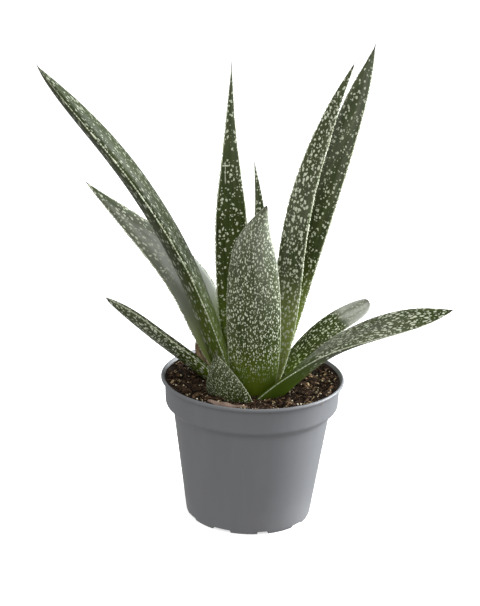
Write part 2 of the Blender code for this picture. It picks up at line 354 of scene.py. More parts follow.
# How each leaf is marked on its inner face and its back. bloom is how much grey it has, partly its own
# wax and partly painted sheen, and wax_span the shares of its length between which that grey grows to
# the full. bare is how much of its foot has no spots, and foot how light the foot is, from plain green at 0
# to yellow at 1, partly its own paler tone and partly painted light through it, and darker under 0 as painted
# shade. shade is how much painted shade darkens the whole leaf, beads the size of the beads along its edges,
# and point how long its brown point is in mm.
Marks = namedtuple("Marks", "inner back bloom wax_span bare foot shade beads point")
MARKS = {
    "leaf_heart": Marks(
        Spots(1.8, 0.24, 1.4, 0.7), Spots(2.0, 0.26, 1.4, 0.7), 0.1, (0.5, 0.9), 0.1, 0.3, 0.0, 0.8, 3,
    ),
    "leaf_back_centre": Marks(
        Spots(2.6, 0.20, 1.2, 0.70), Spots(2.4, 0.22, 1.3, 0.7), 0.15, (0.5, 0.9), 0.1, 0.1, 0.12, 1.8, 5,
    ),
    "leaf_right_near": Marks(
        Spots(2.2, 0.24, 1.6, 0.84), Spots(2.4, 0.22, 1.5, 0.7), 0.12, (1.6, 0.4), 0.0, 0.6, 0.0, 1.8, 2,
    ),
    "leaf_front": Marks(
        Spots(1.8, 0.24, 1.4, 0.8), Spots(1.45, 0.21, 1.9, 0.85), 0.22, (0.3, 0.85), 0.12, 0.05, 0.0, 0.6, 1,
    ),
    "leaf_left_long": Marks(
        Spots(1.7, 0.18, 3.2, 0.74), Spots(2.3, 0.20, 2.8, 0.72), 0.06, (0.3, 0.7), 0.02, 0.10, 0.44, 1.4, 4,
    ),
    "leaf_right_tall": Marks(
        Spots(2.4, 0.21, 1.3, 0.70), Spots(2.4, 0.22, 1.5, 0.7), 0.18, (0.3, 0.8), 0.12, 0.6, 0.0, 2.0, 6,
    ),
    "leaf_left_broad": Marks(
        Spots(1.8, 0.21, 2.4, 0.75), Spots(2.0, 0.22, 1.9, 0.7), 0.66, (1.1, 0.6), 0.4, 0.35, 0.0, 1.8, 3,
    ),
    "leaf_right_blunt": Marks(
        Spots(1.8, 0.205, 1.6, 0.8), Spots(1.9, 0.22, 1.6, 0.8), 0.95, (0.68, 0.78), 0.05, 0.0, 0.0, 0.6, 0.5,
    ),
    "leaf_right_arching": Marks(
        Spots(1.75, 0.21, 2.4, 0.9), Spots(2.2, 0.20, 1.9, 0.62), 0.14, (1.0, 0.6), 0.2, -0.08, 0.08, 1.0, 2,
    ),
    "leaf_left_low": Marks(
        Spots(1.7, 0.185, 2.2, 0.85), Spots(1.8, 0.22, 1.8, 0.9), 0.08, (0.3, 0.7), 0.0, 0.0, 0.13, 0.9, 2,
    ),
    "leaf_front_short": Marks(
        Spots(1.4, 0.20, 1.5, 0.9), Spots(1.1, 0.185, 1.5, 0.82), 0.05, (0.3, 0.7), 0.0, 0.0, 0.0, 0.5, 1,
    ),
}
CREAM = (0.68, 0.72, 0.55)
# Grey of the leaves' own wax and of painted sheen, the shine of the bright studio off the skin.
WAX_AND_SHEEN = (0.42, 0.43, 0.39)
DEEP_GREEN = (0.019, 0.030, 0.003)
FRESH_GREEN = (0.046, 0.064, 0.010)
PALE_GREEN = (0.070, 0.088, 0.026)
# Deep green of painted shade, into which whole leaves are darkened.
PAINTED_SHADE_GREEN = (0.010, 0.016, 0.002)
POINT_BROWN = (0.042, 0.032, 0.022)
PLAIN_FOOT = np.array((0.085, 0.130, 0.001))
# Yellow of a leaf's foot, partly its own paler tone and partly painted light shining through it.
YELLOW_AND_BACKLIT_FOOT = np.array((0.44, 0.52, 0.15))
# A healed scratch on one leaf: which leaf, and its place across and along in metres.
SCRATCH = ("leaf_back_centre", 0.0030, 0.129)


def spots(finish, across, along, seed, kind):
    """Cream spots of many sizes, some run together in rows: 1 inside a spot and 0 outside."""
    u = across * (1000 / kind.spacing) + seed
    v = along * (1000 / (kind.spacing * kind.stretch)) + seed
    flow_u, flow_v, _ = finish.split(finish.noise(finish.vector(u, v, 0.0), 0.9, 3, output="Color"))
    cells = finish.vector(u + (flow_u - 0.5) * 0.9, v + (flow_v - 0.5) * 0.9, 0.0)
    crowd = finish.noise(finish.vector(u * 0.25, v * 0.5, seed), 1.0, 2)
    layers = []
    for scale, rarity in ((1.0, 0.0), (1.8, 0.3)):
        settings = {"voronoi_dimensions": "2D", "feature": "F1"}
        distance = finish.node("ShaderNodeTexVoronoi", settings, output="Distance", Vector=cells, Scale=scale)
        chance = finish.node("ShaderNodeTexVoronoi", settings, output="Color", Vector=cells, Scale=scale)
        first, second, _ = finish.split(chance)
        grown = (second * 0.6 + crowd * 0.8).ramp(1.2 - kind.fill + rarity, 1.3 - kind.fill + rarity)
        radius = (first * 0.8 + 0.6) * grown * kind.radius
        layers.append((radius - distance).ramp(-0.04, 0.05) * grown)
    return finish.maths("MAXIMUM", layers[0], layers[1] * 0.8)


def leaf_skin(name, marks, length):
    """Green skin with grey wax and painted sheen: spots, a beaded cream edge, a foot of its own tone and
    painted light, and a brown point at the tip.
    """
    finish = Finish(f"{name}_skin", Roughness=0.4, Specular_IOR_Level=0.15)
    inner_across, inner_gap, along = finish.split(finish.attribute("inside"))
    outer_across, outer_gap, _along = finish.split(finish.attribute("outside"))
    side, face, share = finish.split(finish.attribute("leaf"))
    seed = sum(map(ord, name)) % 97
    is_inner = face.ramp(-0.02, 0.02)
    spotted = spots(finish, inner_across, along, seed, marks.inner) * is_inner
    spotted = spotted + spots(finish, outer_across, along, seed + 50, marks.back) * (1 - is_inner)
    grown = share.ramp(marks.bare, marks.bare + 0.2)
    # Painted sheen: grey laid on in patches, partly the leaf's own wax and partly the shine of light off its
    # skin.
    patches = finish.noise(finish.vector(side * 0.9, along * 16, seed + 9), 1.0, 2).ramp(0.40, 0.60)
    wax_and_sheen = share.ramp(*marks.wax_span) * marks.bloom * (0.45 + patches * 0.55)
    spotted = spotted * grown * (1 - wax_and_sheen * 0.9)

    streaks = finish.noise(finish.vector(side * 9, along * 45, seed), 1.0, 4)
    cloud = finish.noise(finish.vector(side * 1.5, along * 30, seed), 1.0, 4)
    green = finish.mix(streaks.ramp(0.3, 0.7), DEEP_GREEN, FRESH_GREEN)
    green = finish.mix(cloud.ramp(0.42, 0.68) * 0.6, green, PALE_GREEN)
    # The grey of wax and painted sheen mixed into the green.
    green = finish.mix((cloud * 0.3 + 0.85) * wax_and_sheen, green, WAX_AND_SHEEN)
    # The foot's colour: toward yellow partly its own paler tone and partly painted light through it, and
    # darker than plain green as painted shade where foot is under 0.
    foot = tuple(np.clip(PLAIN_FOOT + (YELLOW_AND_BACKLIT_FOOT - PLAIN_FOOT) * marks.foot, 0, 1))
    green = finish.mix(share.ramp(0.40, 0.14) * (0.75 + streaks * 0.25), green, foot)

    gap = (inner_gap * is_inner + outer_gap * (1 - is_inner)) * 1000
    beads = finish.noise(finish.vector(0.0, along * 700, seed), 1.0, 1).ramp(0.40, 0.60)
    edge = gap.ramp(0.55, 0.15) * (0.35 + beads * 0.65)
    tone = finish.mix(finish.maths("MAXIMUM", spotted * 0.92, edge * 0.7), green, CREAM)
    brown = (along * 1000).ramp(1000 * length - marks.point - 3, 1000 * length - marks.point + 0.5)
    tone = finish.mix(brown, tone, POINT_BROWN)
    scratched, middle, far = SCRATCH
    if name == scratched:
        aside = (inner_across - middle) * 1000 + (streaks - 0.5) * 1.2
        ahead = (along - far) * 1000
        upright = abs(aside).ramp(0.45, 0.15) * abs(ahead).ramp(7, 5)
        bar = abs(ahead - 4).ramp(0.5, 0.2) * abs(aside).ramp(2.2, 1.6)
        tone = finish.mix(finish.maths("MAXIMUM", upright * 0.7, bar) * is_inner, tone, CREAM)
    # Painted shade: the whole leaf darkened by its shade share, for leaves that lie in shadow.
    tone = finish.mix(marks.shade, tone, PAINTED_SHADE_GREEN)
    finish.feed(Base_Color=tone, Roughness=0.36 + streaks * 0.14 + spotted * 0.15)
    return finish.bump(spotted * 0.7 + streaks * 0.10 + cloud * 0.3, 0.45, 0.0004)


# Measuring the solids -------------------------------------------------------------------------------------

# The long lines of a leaf's straight blank. The first lies in the middle of the inner face.
LEAF_COLUMNS = 16
COLUMN_TURNS = np.arange(LEAF_COLUMNS) * 2 * math.pi / LEAF_COLUMNS
COLUMN_SIDES = np.sin(COLUMN_TURNS)
COLUMN_FACES = np.cos(COLUMN_TURNS)
MIDDLE_COLUMN = 0

Station = namedtuple("Station", "middle across inner along half_width depth travelled")
LEAF_REACH = 30 * MM  # an outline further than this from a slice's middle is another bend of the leaf
ROUND_UNDER = 1.35  # a slice whose width is less than this times its depth has no direction of its own
# The shares of a leaf's chord at its first slice, at its last one, and where its end is measured.
SPINE_FROM = 0.06
SPINE_TO = 0.97
SPINE_END = 0.994


def corners_of(node):
    """The corners of every triangle of a node."""
    mesh = frame["nodes"][node].data
    points = np.array([vert.co for vert in mesh.vertices])
    return points[np.array([list(face.vertices) for face in mesh.polygons])]


def crossings(corners, point, normal):
    """The outline, as point pairs, where a plane cuts the triangles."""
    away = (corners - point) @ normal
    pairs = []
    for first, second, third in ((0, 1, 2), (1, 2, 0), (2, 0, 1)):
        alone = (away[:, first] > 0) != (away[:, second] > 0)
        alone &= (away[:, second] > 0) == (away[:, third] > 0)
        start, left, right = corners[alone, first], corners[alone, second], corners[alone, third]
        near, far_left, far_right = away[alone, first], away[alone, second], away[alone, third]
        to_left = start + (left - start) * (near / (near - far_left))[:, None]
        to_right = start + (right - start) * (near / (near - far_right))[:, None]
        pairs.append(np.stack([to_left, to_right], 1))
    return np.concatenate(pairs)


def unit(vector):
    """The vector at length 1."""
    return vector / np.linalg.norm(vector)


def spine_of(corners, count):
    """The foot of a leaf's solid, the middles of even slices along it, and the middle and size of its end."""
    points = corners.reshape(-1, 3)
    foot = points[points[:, 2] < points[:, 2].min() + 1.5 * MM].mean(0)
    tip = points[np.argmax(np.linalg.norm(points - foot, axis=1))]
    chord = unit(tip - foot)
    length = (tip - foot) @ chord
    cuts = [
        crossings(corners, foot + chord * length * share, chord).reshape(-1, 3)
        for share in [*np.linspace(SPINE_FROM, SPINE_TO, count), SPINE_END]
    ]
    middles = [(cut.min(0) + cut.max(0)) / 2 for cut in cuts]
    end_size = np.linalg.norm(np.ptp(cuts[-1], axis=0)) / 2
    return foot, np.array(middles[:-1]), middles[-1] + chord * length * (1 - SPINE_END), end_size


def levels_at(sides, heights, places):
    """The highest and the lowest level of an outline at each place across it."""
    found = []
    for place in places:
        over = (sides[:, 0] > place) != (sides[:, 1] > place)
        shares = (place - sides[over, 0]) / (sides[over, 1] - sides[over, 0])
        levels = heights[over, 0] + (heights[over, 1] - heights[over, 0]) * shares
        found.append((levels.max(), levels.min()) if levels.size else (0.0, 0.0))
    return np.array(found)


def stations_of(node, count):
    """Slices across the leaf's solid: where each is, how wide and deep it is, and the shape that they share.

    The shape is the level of each of the leaf's columns over its edges, as a share of the depth.
    """
    corners = corners_of(node)
    foot, middles, tip, end_size = spine_of(corners, count)
    line = np.concatenate([middles, [tip]])
    found, across = [], None
    for index, middle in enumerate(middles):
        behind = line[index - 1] if index else middle - (line[1] - middle)
        along = unit(line[index + 1] - behind)
        outline = crossings(corners, middle, along)
        outline = outline[np.linalg.norm(outline.mean(1) - middle, axis=1) < LEAF_REACH]
        points = outline.reshape(-1, 3)
        _, spans, axes = np.linalg.svd(points - points.mean(0), full_matrices=False)
        if across is None or spans[0] > ROUND_UNDER * spans[1]:
            across = axes[0] if across is None or axes[0] @ across > 0 else -axes[0]
        across = unit(across - along * (across @ along))
        inner = np.cross(along, across)
        reach = points @ across
        centre = points[[reach.argmin(), reach.argmax()]].mean(0)
        half = np.ptp(reach) / 2
        places = COLUMN_SIDES * 0.98 * half
        levels = levels_at((outline - centre) @ across, (outline - centre) @ inner, places)
        found.append([centre, across, inner, along, half, levels])
    # The back bulges further from the edges than the inner face does.
    if sum(level[5].sum() for level in found) > 0:
        for level in found:
            level[1], level[2] = -level[1], -level[2]
            level[5] = -level[5][-np.arange(LEAF_COLUMNS), ::-1]
    depths = [-level[5][MIDDLE_COLUMN, 1] for level in found]
    whole = range(count // 3, 1 + 2 * count // 3)
    section = np.median([found[index][5] / depths[index] for index in whole], axis=0)
    section = np.where(COLUMN_FACES > 0.01, section[:, 0], section[:, 1]) * (np.abs(COLUMN_FACES) > 0.01)
    levels = [level[:5] + [depth] for level, depth in zip(found, depths)]
    return with_ends(levels, foot, tip, end_size), section


def with_ends(found, foot, tip, end_size):
    """The slices with the foot before them and the tip after them, and the distance travelled along them."""
    first, last = list(found[0]), list(found[-1])
    first[0] = found[0][0] - found[0][3] * np.linalg.norm(found[0][0] - foot)
    last[0], last[4], last[5] = tip, end_size * 0.8, min(end_size, last[5] * 0.8)
    levels = [first, *found, last]
    travelled, stations = 0.0, []
    for index, level in enumerate(levels):
        if index:
            travelled += np.linalg.norm(level[0] - levels[index - 1][0])
        vectors = [Vector(part) for part in level[:4]]
        stations.append(Station(*vectors, float(level[4]), float(level[5]), float(travelled)))
    return stations


# Leaves ---------------------------------------------------------------------------------------------------

SLICE_EVERY = 9 * MM  # how far apart a leaf's rings stand


def ring_height(index, rings):
    """Where a ring lies on the straight leaf, which is laid out below the floor."""
    return index / (rings - 1) - 2


def straight_blank(name, rings):
    """A unit leaf laid straight along Z: a cylinder cut into rings, with its edges on X and creased."""
    bpy.ops.mesh.primitive_cylinder_add(vertices=LEAF_COLUMNS, radius=1, depth=1, end_fill_type="NGON")
    blank = named(bpy.context.object, name)
    start_editing(blank)
    pick(blank, "edges", lambda edge: abs(edge.verts[0].co.z - edge.verts[1].co.z) > 0.5)
    bpy.ops.mesh.subdivide(number_cuts=rings - 2)
    bpy.ops.mesh.select_all(action="SELECT")
    bpy.ops.transform.translate(value=(0, 0, -1.5))
    pick(blank, "edges", lambda edge: min(abs(vert.co.x) for vert in edge.verts) > 0.999)
    bpy.ops.transform.edge_crease(value=0.95)
    stop_editing()
    return blank


def arcs_round(station, section, first, last):
    """How far each long line lies from the middle of one face, round the skin, and how far the edge is.

    It grows toward the edge at +X. The lines of the other face take the value of their own edge.
    """
    points = np.stack([COLUMN_SIDES * station.half_width, section * station.depth], 1)
    lines = np.arange(first, last + 1) % LEAF_COLUMNS
    steps = np.linalg.norm(np.diff(points[lines], axis=0), axis=1)
    arcs = np.concatenate([[0], np.cumsum(steps)])
    arcs -= arcs[len(arcs) // 2]
    edge = arcs[-1]
    if COLUMN_SIDES[lines[-1]] < 0:
        arcs = -arcs
    whole = np.where(COLUMN_SIDES > 0, arcs.max(), arcs.min())
    whole[lines] = arcs
    return whole, edge


def write_marks(blank, stations, section):
    """Keeps where each corner lies on the leaf's skin, which its material reads."""
    corners = np.array([vert.co for vert in blank.data.vertices])
    ring = np.rint((corners[:, 2] + 2) * (len(stations) - 1)).astype(int)
    turns = np.arctan2(corners[:, 0], corners[:, 1]) / (2 * math.pi / LEAF_COLUMNS)
    column = np.rint(turns).astype(int) % LEAF_COLUMNS
    far = np.array([station.travelled for station in stations])
    quarter = LEAF_COLUMNS // 4
    values = {"leaf": np.stack([corners[:, 0], corners[:, 1], far[ring] / far[-1]], 1)}
    for name, first, last in (("inside", -quarter, quarter), ("outside", quarter, 3 * quarter)):
        arcs, edges = zip(*(arcs_round(station, section, first, last) for station in stations))
        arc = np.array(arcs)[ring, column]
        values[name] = np.stack([arc, np.array(edges)[ring] - np.abs(arc), far[ring]], 1)
    for name, vectors in values.items():
        blank.data.attributes.new(name, "FLOAT_VECTOR", "POINT")
        blank.data.attributes[name].data.foreach_set("vector", vectors.astype(np.float32).ravel())


def shape_section(blank, section):
    """Moves the long lines of the straight leaf in or out, so that each ring takes the leaf's section."""
    start_editing(blank)
    for side, face, level in zip(COLUMN_SIDES, COLUMN_FACES, section):
        pick(blank, "verts", lambda vert: abs(vert.co.x - side) < 1e-3 and abs(vert.co.y - face) < 1e-3)
        bpy.ops.transform.translate(value=(0, level - face, 0))
    stop_editing()


def stand_ring(leaf, height, station):
    """Gives one ring of the straight leaf its size, and stands it at its station."""
    centre = (0, 0, height)
    start_editing(leaf)
    pick(leaf, "verts", lambda vert: abs(vert.co.z - height) < 1e-4)
    bpy.ops.transform.resize(value=(station.half_width, station.depth, 1), center_override=centre)
    turn = Matrix((station.across, station.inner, station.along)).transposed().to_euler("XYZ")
    for axis, angle in zip("XYZ", turn):
        bpy.ops.transform.rotate(value=-angle, orient_axis=axis, orient_type="GLOBAL", center_override=centre)
    bpy.ops.transform.translate(value=station.middle - Vector(centre))
    stop_editing()


HEART = Vector((0, 3 * MM, 0))  # where the leaves come together
GATHERED = 0.4  # how much of the way to the heart a leaf's foot is drawn
CLASPED = 0.3  # the share of a leaf that is drawn in
# How far some feet are moved besides, in mm.
FOOT_SHIFTS = {
    "leaf_right_arching": (-3, -4, -1),
    "leaf_front": (-1, -5, -2),
    "leaf_front_short": (0, -7, 0),
}


def with_foot(stations, shift):
    """The slices with those near the foot drawn toward the heart of the plant, and moved by the shift."""
    reach = stations[-1].travelled * CLASPED
    foot = stations[0].middle
    move = Vector(((HEART - foot).xy * GATHERED).to_3d()) + Vector(shift) * MM
    return [
        station._replace(middle=station.middle + move * max(0, 1 - station.travelled / reach) ** 1.5)
        for station in stations
    ]


def with_point(stations, point):
    """The slices with a thin point after them, which bends upward."""
    last = stations[-1]
    grown = list(stations)
    for share in (0.35, 0.7, 1.0):
        rise = (last.along * share + Vector((0, 0, 0.45 * share ** 2))) * point
        thin = 0.30 * MM * (1.1 - share)
        raised = last._replace(middle=last.middle + rise, travelled=last.travelled + rise.length)
        grown.append(raised._replace(half_width=thin, depth=thin))
    return grown


def make_leaf(node, name, point=1 * MM):
    """A leaf stood on its solid's own slices, and how long it is."""
    low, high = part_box(node)
    count = max(8, round((high - low).length / SLICE_EVERY))
    stations, section = stations_of(node, count)
    stations = with_point(with_foot(stations, FOOT_SHIFTS.get(node, (0, 0, 0))), point)
    leaf = straight_blank(name, len(stations))
    write_marks(leaf, stations, section)
    shape_section(leaf, section)
    for index, station in enumerate(stations):
        stand_ring(leaf, ring_height(index, len(stations)), station)
    apply(leaf, "SUBSURF", levels=2, render_levels=2)
    leaf.data.shade_smooth()
    return leaf, stations[-1].travelled


def vectors_of(mesh, attribute):
    """What a mesh keeps for each of its corners under this name."""
    values = np.empty(len(mesh.vertices) * 3, np.float32)
    mesh.attributes[attribute].data.foreach_get("vector", values)
    return values.reshape(-1, 3)


BEAD_SPACING = 1.6 * MM
FIRST_BEAD = 4 * MM  # from the foot of a leaf
LAST_BEAD = 5 * MM  # from its tip


def edge_places(leaf, scale):
    """Where the beads sit: along both edges of a finished leaf, with their size falling off to its ends."""
    mesh = leaf.data
    corners = np.array([vert.co for vert in mesh.vertices])
    marks, flats = vectors_of(mesh, "leaf"), vectors_of(mesh, "inside")
    places = []
    for sign in (-1, 1):
        line = np.flatnonzero(marks[:, 0] * sign > 0.999)
        line = line[np.argsort(flats[line, 2])]
        far = flats[line, 2]
        travelled = FIRST_BEAD
        while travelled < far[-1] - LAST_BEAD:
            travelled += BEAD_SPACING * RANDOM.uniform(0.6, 1.5)
            share = travelled / far[-1]
            here = [np.interp(travelled, far, corners[line, axis]) for axis in range(3)]
            ahead = [np.interp(travelled + MM, far, corners[line, axis]) for axis in range(3)]
            along = Vector(ahead) - Vector(here)
            outward = mesh.vertices[line[np.argmin(abs(far - travelled))]].normal
            taper = min(1, 4 * (1.02 - share)) * (0.3 + 0.7 * min(1, share * 3))
            size = scale * RANDOM.uniform(0.6, 1.1) * taper
            places.append(standing(here, along, outward, size))
    return places


def standing(point, along, outward, size):
    """The place of a copy: its Y along, its Z outward, at that size."""
    upward = outward.normalized()
    forward = (along - upward * along.dot(upward)).normalized()
    turn = Matrix((forward.cross(upward), forward, upward)).transposed()
    return Matrix.LocRotScale(Vector(point), turn.to_quaternion(), Vector((size, size, size)))


def bead():
    """A low dome, longer than wide, that stands on Z."""
    bpy.ops.mesh.primitive_ico_sphere_add(subdivisions=1, radius=0.5 * MM)
    dome = named(bpy.context.object, "bead")
    start_editing(dome)
    pick(dome, "verts", lambda vert: vert.co.z < -0.1 * MM)
    bpy.ops.transform.resize(value=(1.15, 1.15, 0.4), center_override=(0, 0, 0))
    bpy.ops.mesh.select_all(action="SELECT")
    bpy.ops.transform.resize(value=(0.75, 1.35, 0.75), center_override=(0, 0, 0))
    stop_editing()
    return dome


# Pot ------------------------------------------------------------------------------------------------------

POT_SIDES = 128
POT_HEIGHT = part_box("pot")[1].z
# (radius, height) in mm from the middle of the floor inside, up over the lip and down to the underside.
POT_PROFILE = (
    (33.4, 3.4), (34.9, 3.9), (35.3, 4.9), (43.4, 60.8), (43.7, 62.6), (44.6, 64.2), (46.8, 66.4),
    (48.1, 68.6), (48.9, 80.3), (49.5, 81.4), (50.6, 82.9), (51.0, 83.6), (51.5, 84.0), (52.1, 83.8),
    (52.45, 83.3), (52.5, 82.8), (52.4, 82.3), (52.1, 82.0), (51.5, 81.8), (50.8, 81.6), (50.4, 81.3),
    (50.2, 80.7), (49.6, 69.4), (49.5, 68.5), (49.25, 67.9), (48.7, 67.3), (46.7, 65.4), (45.6, 64.3),
    (45.1, 63.6), (44.85, 62.9), (44.7, 62.0), (36.2, 3.2), (35.95, 1.9), (35.5, 0.8), (34.8, 0.15),
    (34.2, 0.0),
)
CHANNELS = 9
CHANNEL_SPANS = (19, 11, 17)  # degrees of the foot's rim, repeated round it
FIRST_CHANNEL = -115.5  # degrees from +X
CHANNEL_LENGTH = 14 * MM
CHANNEL_MIDDLE = 34 * MM  # from the pot's axis
CHANNEL_HEIGHT = 2 * MM
DRAIN_RADIUS = 3 * MM
DRAIN_CIRCLE = 29 * MM
DRAIN_LENGTH = 16 * MM


def turned_pot():
    """The pot's wall, drawn ring by ring from the floor inside, over the lip and down to the underside."""
    (radius, height), *rest = POT_PROFILE
    bpy.ops.mesh.primitive_circle_add(
        vertices=POT_SIDES, radius=radius * MM, fill_type="NGON", location=(0, 0, height * MM)
    )
    pot = named(bpy.context.object, "pot_body")
    settle(pot)
    start_editing(pot)
    pick(pot, "edges", lambda edge: True)
    bpy.ops.mesh.extrude_edges_move(TRANSFORM_OT_translate={"value": (0, 0, 0)})
    for next_radius, next_height in rest:
        bpy.ops.transform.translate(value=(0, 0, (next_height - height) * MM))
        share = next_radius / radius
        bpy.ops.transform.resize(value=(share, share, 1), center_override=(0, 0, next_height * MM))
        if (next_radius, next_height) != rest[-1]:
            bpy.ops.mesh.extrude_edges_move(TRANSFORM_OT_translate={"value": (0, 0, 0)})
        radius, height = next_radius, next_height
    bpy.ops.mesh.edge_face_add()
    bpy.ops.mesh.select_all(action="SELECT")
    bpy.ops.mesh.normals_make_consistent(inside=False)
    stop_editing()
    return pot


def foot_cutters():
    """Blocks for the channels under the foot, and pegs for the drain holes, in a collection of their own."""
    group = bpy.data.collections.new("foot_cutters")
    bpy.context.scene.collection.children.link(group)
    foot_radius = POT_PROFILE[-3][0] * MM
    for index in range(CHANNELS):
        angle = math.radians(FIRST_CHANNEL + index * 360 / CHANNELS)
        toward = Vector((math.cos(angle), math.sin(angle), 0))
        width = 2 * foot_radius * math.sin(math.radians(CHANNEL_SPANS[index % 3] / 2))
        bpy.ops.mesh.primitive_cube_add(
            size=1, location=toward * CHANNEL_MIDDLE, rotation=(0, 0, angle),
            scale=(CHANNEL_LENGTH, width, 2 * CHANNEL_HEIGHT),
        )
        block = bpy.context.object
        bpy.ops.mesh.primitive_cylinder_add(
            vertices=24, radius=DRAIN_RADIUS, depth=DRAIN_LENGTH, location=toward * DRAIN_CIRCLE
        )
        for cutter in (block, bpy.context.object):
            settle(cutter)
            for owner in cutter.users_collection:
                owner.objects.unlink(cutter)
            group.objects.link(cutter)
        start_editing(block)
        pick(block, "edges", lambda edge: centre_of(edge).z > 0.4 * CHANNEL_HEIGHT)
        bpy.ops.mesh.bevel(offset=0.5 * MM, segments=2)
        stop_editing()
    return group


def make_pot():
    """The turned wall with the channels and drain holes cut into its foot."""
    pot = turned_pot()
    cutters = foot_cutters()
    apply(
        pot, "BOOLEAN", operation="DIFFERENCE", operand_type="COLLECTION", collection=cutters, solver="EXACT"
    )
    for cutter in list(cutters.objects):
        bpy.data.objects.remove(cutter)
    bpy.data.collections.remove(cutters)
    take(pot)
    bpy.ops.object.shade_smooth_by_angle(angle=math.radians(35))
    return pot


# Soil -----------------------------------------------------------------------------------------------------

SOIL_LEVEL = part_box("soil")[1].z
SOIL_FOOT = 60 * MM  # how high the underside of the bed lies
SOIL_RADIUS = 49.9 * MM
SOIL_BANK = 3.2 * MM  # how much higher it clings to the pot's wall
SOIL_RINGS = 40
# How rough the top is: the size of the bumps and how high they stand.
SOIL_RELIEF = (("mounds", 12.0 * MM, 2.6 * MM), ("clods", 3.5 * MM, 1.8 * MM), ("crumbs", 1.2 * MM, 0.8 * MM))
SCATTER_REACH = 47.8 * MM  # how far from the pot's axis loose bits lie
DROP_HEIGHT = POT_HEIGHT + 20 * MM  # where the bits are dropped from


def clouds(name, size):
    """A cloud texture for displacing the soil."""
    texture = bpy.data.textures.new(name, "CLOUDS")
    texture.noise_scale = size
    texture.noise_depth = 2
    return texture


def make_soil():
    """A round body of peat with a rough top that climbs a little at the pot's wall."""
    depth = SOIL_LEVEL - SOIL_FOOT
    bpy.ops.mesh.primitive_cylinder_add(
        vertices=144, radius=SOIL_RADIUS, depth=depth, location=(0, 0, SOIL_LEVEL - depth / 2)
    )
    soil = named(bpy.context.object, "soil_bed")
    settle(soil)
    start_editing(soil)
    pick(soil, "verts", lambda vert: vert.co.z < SOIL_LEVEL - depth / 2)
    bpy.ops.transform.resize(value=(0.85, 0.85, 1), center_override=(0, 0, SOIL_FOOT))
    pick(soil, "faces", lambda face: face.normal.z > 0.9)
    for _ring in range(SOIL_RINGS):
        bpy.ops.mesh.inset(thickness=(SOIL_RADIUS - 2 * MM) / SOIL_RINGS)
    bpy.ops.mesh.poke()
    stop_editing()
    top = soil.vertex_groups.new(name="top")
    for vert in soil.data.vertices:
        if vert.co.z > SOIL_LEVEL - 0.1 * MM:
            reach = vert.co.xy.length / SOIL_RADIUS
            vert.co.z += SOIL_BANK * reach ** 9
            top.add([vert.index], 1 if reach < 0.99 else 0.3, "REPLACE")
    for name, size, strength in SOIL_RELIEF:
        apply(
            soil, "DISPLACE", texture=clouds(name, size), texture_coords="LOCAL", direction="Z",
            strength=strength, mid_level=0.55, vertex_group="top",
        )
    soil.data.shade_smooth()
    return soil


def block_of(name, size, squash, roughness, seed):
    """An irregular lump: a ball of few faces, squashed and with its corners knocked about."""
    bpy.ops.mesh.primitive_ico_sphere_add(subdivisions=1, radius=size / 2)
    lump = named(bpy.context.object, name)
    start_editing(lump)
    bpy.ops.mesh.select_all(action="SELECT")
    bpy.ops.transform.resize(value=squash, center_override=(0, 0, 0))
    bpy.ops.transform.vertex_random(offset=size * roughness, seed=seed)
    stop_editing()
    return lump


def fibre_of(name, length, thickness, bow, seed):
    """A bent strand: a thin three-sided rod whose rings are moved to and fro."""
    bpy.ops.mesh.primitive_cylinder_add(
        vertices=3, radius=thickness / 2, depth=length, rotation=(0, math.pi / 2, 0)
    )
    strand = named(bpy.context.object, name)
    settle(strand)
    start_editing(strand)
    pick(strand, "edges", lambda edge: (edge.verts[0].co - edge.verts[1].co).length > length / 2)
    bpy.ops.mesh.subdivide(number_cuts=5)
    for step in range(7):
        at = length * (step / 6 - 0.5)
        pick(strand, "verts", lambda vert: abs(vert.co.x - at) < length / 30)
        turn = 2 * math.pi * (step / 6 + 0.17 * seed)
        bpy.ops.transform.translate(value=(0, bow * math.sin(turn), bow * 0.5 * math.cos(2 * turn)))
        if step in (0, 6):
            bpy.ops.transform.resize(value=(1, 0.3, 0.3))
    stop_editing()
    return strand


def soil_places(tree, count, sizes, lift, tilt):
    """Places for loose bits on the soil, at a size between the two given and turned at random."""
    places = []
    while len(places) < count:
        x, y = RANDOM.uniform(-SCATTER_REACH, SCATTER_REACH, 2)
        if math.hypot(x, y) >= SCATTER_REACH:
            continue
        hit, _normal, _face, _distance = tree.ray_cast(Vector((x, y, DROP_HEIGHT)), Vector((0, 0, -1)))
        size = RANDOM.uniform(*sizes)
        turn = Matrix.Rotation(RANDOM.uniform(0, 2 * math.pi), 4, "Z")
        lean = Matrix.Rotation(RANDOM.normal(0, tilt), 4, Vector((*RANDOM.normal(0, 1, 2), 0)).normalized())
        places.append(Matrix.Translation(hit + Vector((0, 0, lift))) @ lean @ turn @ Matrix.Scale(size, 4))
    return places


def tree_of(obj):
    """The object's faces, ready to find where a falling bit lands."""
    corners = [vert.co for vert in obj.data.vertices]
    return BVHTree.FromPolygons(corners, [face.vertices for face in obj.data.polygons])


def scatter(name, original, tree, count, sizes, lift, tilt, material, tones=None):
    """Loose bits of one kind, strewn over the soil."""
    places = soil_places(tree, count, sizes, lift, tilt)
    if tones is None:
        tones = RANDOM.random(count)
    finish_piece(spread(name, original, places, tones), material, "potting_soil")


# The whole plant ------------------------------------------------------------------------------------------


def make_plant():
    """The green leaves with the beads along their edges, and the dead leaf."""
    places = []
    for node, marks in MARKS.items():
        leaf, length = make_leaf(node, f"{node}_blade", marks.point * MM)
        finish_piece(leaf, leaf_skin(node, marks, length), "leaf_green", node)
        places += edge_places(leaf, marks.beads)
    beads = spread("edge_beads", bead(), places, np.zeros(len(places)))
    finish_piece(beads, bead_skin(), "leaf_green")
    withered, _length = make_leaf("dry_leaf", "withered_leaf")
    finish_piece(withered, straw(), "dry_leaf", "dry_leaf")


FIBRES = 300  # of each kind


